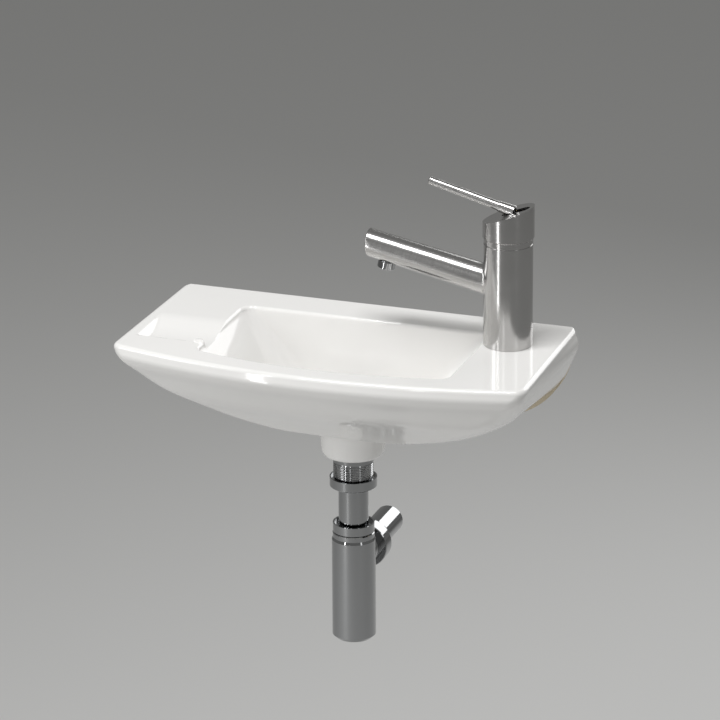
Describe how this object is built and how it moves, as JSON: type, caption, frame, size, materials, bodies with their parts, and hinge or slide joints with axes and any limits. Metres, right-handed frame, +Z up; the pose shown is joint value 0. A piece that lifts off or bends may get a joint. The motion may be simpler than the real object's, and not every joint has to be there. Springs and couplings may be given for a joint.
{
  "type": "wall hung basin",
  "caption": "Compact wall hung hand basin in glazed ceramic with a bowed front, a right-hand single-lever tap, a sloped soap recess on the left and a chrome bottle trap.",
  "frame": {"origin": "midway between the two wall fixings, on the wall plane behind the basin", "axes": "+Z up, +Y into the wall, +X to the right of someone facing the basin"},
  "size_m": [0.4574, 0.2685, 0.5275],
  "materials": {
    "glazed_ceramic": "gloss white glaze",
    "nylon": "natural nylon",
    "satin_steel": "satin, brushed",
    "chrome": "polished chrome plate",
    "rubber": "matte black",
    "brass": "machined",
    "plastic": "moulded",
    "disc_ceramic": "lapped",
    "steel": "machined stainless"
  },
  "bodies": {
    "basin": {"basin_body": "glazed_ceramic", "fixing_bush_left": "nylon", "fixing_bush_right": "nylon", "tap_body": "satin_steel", "tap_spout": "satin_steel", "waste_body": "chrome", "waste_grid": "chrome", "waste_back_nut": "chrome", "trap_union_nut": "chrome", "trap_inlet_tube": "chrome", "trap_top_nut": "chrome", "trap_body": "chrome", "trap_plug": "chrome", "trap_outlet_nut": "chrome", "trap_outlet_pipe": "chrome", "aerator_housing": "chrome", "tap_base_seal": "rubber", "deck_gasket": "rubber", "waste_seal": "rubber", "waste_washer": "rubber", "trap_union_seal": "rubber", "trap_top_seal": "rubber", "trap_plug_seal": "rubber", "trap_outlet_seal": "rubber", "aerator_washer": "rubber", "cartridge_seal": "rubber", "valve_body": "brass", "cartridge_nut": "brass", "cartridge_housing": "plastic", "tap_base_ring": "plastic", "glide_ring": "plastic", "aerator_insert": "plastic", "fixed_disc": "disc_ceramic", "clamp_plate": "steel", "clamp_stud": "steel", "clamp_nut": "steel"},
    "head": {"lever_cap": "satin_steel", "cartridge_rotor": "plastic", "pivot_pin": "steel"},
    "lever": {"lever_spindle": "steel", "lever_neck": "satin_steel", "lever_rod": "satin_steel", "lever_grub_screw": "steel"},
    "disc_slide": {"moving_disc": "disc_ceramic", "disc_carrier": "plastic"}
  },
  "joints": [
    {"name": "lever_turn", "type": "hinge", "parent": "basin", "child": "head", "pos_m": [0.1683, -0.0708, 0.176], "axis": [0, 0, 1], "range_deg": [-45, 45]},
    {"name": "lever_lift", "type": "hinge", "parent": "head", "child": "lever", "pos_m": [0.1683, -0.0708, 0.176], "axis": [0, 1, 0], "range_deg": [0, 22]},
    {"name": "disc_travel", "type": "slide", "parent": "head", "child": "disc_slide", "axis": [1, 0, 0], "range_m": [-0.00487, 0]}
  ],
  "couplings": [
    {"joint": "disc_travel", "follows": "lever_lift", "m_per_rad": -0.01268}
  ]
}
